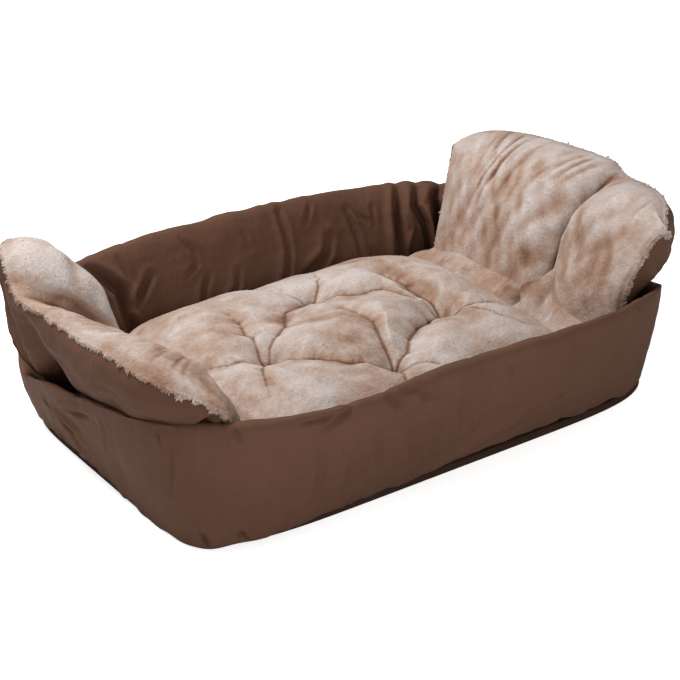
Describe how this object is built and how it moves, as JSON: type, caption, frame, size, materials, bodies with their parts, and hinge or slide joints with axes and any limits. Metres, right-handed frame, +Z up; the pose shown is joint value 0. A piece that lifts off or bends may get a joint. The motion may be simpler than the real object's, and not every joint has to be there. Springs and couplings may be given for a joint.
{
  "type": "dog sofa bed",
  "caption": "Low oval pet bed: a padded cloth tub holds a tufted plush mattress, whose two plush end wings lean on the tub's ends and fold in.",
  "frame": {"origin": "middle of the footprint, on the floor under the base", "axes": "+X along the bed towards the right wing, +Y towards the rear wall with the zip, +Z up"},
  "size_m": [1.0009, 0.6922, 0.3206],
  "materials": {
    "nylon": "satin coated weave",
    "lining": "matt weave",
    "plush": "short soft pile",
    "wadding": "loose fibre",
    "foam": "open cell foam",
    "thread": "twisted thread",
    "zip_tape": "woven tape",
    "zip_metal": "dull plated"
  },
  "bodies": {
    "tub": {"base_cover": "lining", "base_foam": "foam", "base_liner": "lining", "wall_cover": "nylon", "front_wall_fill": "wadding", "rear_wall_fill": "wadding", "left_end_fill": "wadding", "right_end_fill": "wadding"},
    "mattress": {"mattress_top": "plush", "mattress_border": "nylon", "mattress_underside": "lining", "mattress_fill": "wadding", "tuft_threads": "thread", "zip_tapes": "zip_tape", "zip_coils": "zip_tape"},
    "left_wing": {"left_wing_face": "plush", "left_wing_back": "nylon", "left_wing_fill": "wadding", "left_fold_strip": "nylon"},
    "right_wing": {"right_wing_face": "plush", "right_wing_back": "nylon", "right_wing_fill": "wadding", "right_fold_strip": "nylon"},
    "slider": {"zip_slider": "zip_metal"},
    "pull": {"zip_pull": "zip_metal"}
  },
  "joints": [
    {"name": "lift_mattress", "type": "slide", "parent": "tub", "child": "mattress", "axis": [0, 0, 1], "range_m": [0, 0.24]},
    {"name": "fold_left_wing", "type": "hinge", "parent": "mattress", "child": "left_wing", "pos_m": [-0.305, 0, 0.072], "axis": [0, 1, 0], "range_deg": [0, 50]},
    {"name": "fold_right_wing", "type": "hinge", "parent": "mattress", "child": "right_wing", "pos_m": [0.305, 0, 0.072], "axis": [0, -1, 0], "range_deg": [0, 50]},
    {"name": "run_slider", "type": "slide", "parent": "mattress", "child": "slider", "axis": [1, 0, 0], "range_m": [0, 0.396]},
    {"name": "turn_pull", "type": "hinge", "parent": "slider", "child": "pull", "pos_m": [-0.198, 0.26437, 0.07295], "axis": [0, 0, 1], "range_deg": [0, 20]}
  ]
}
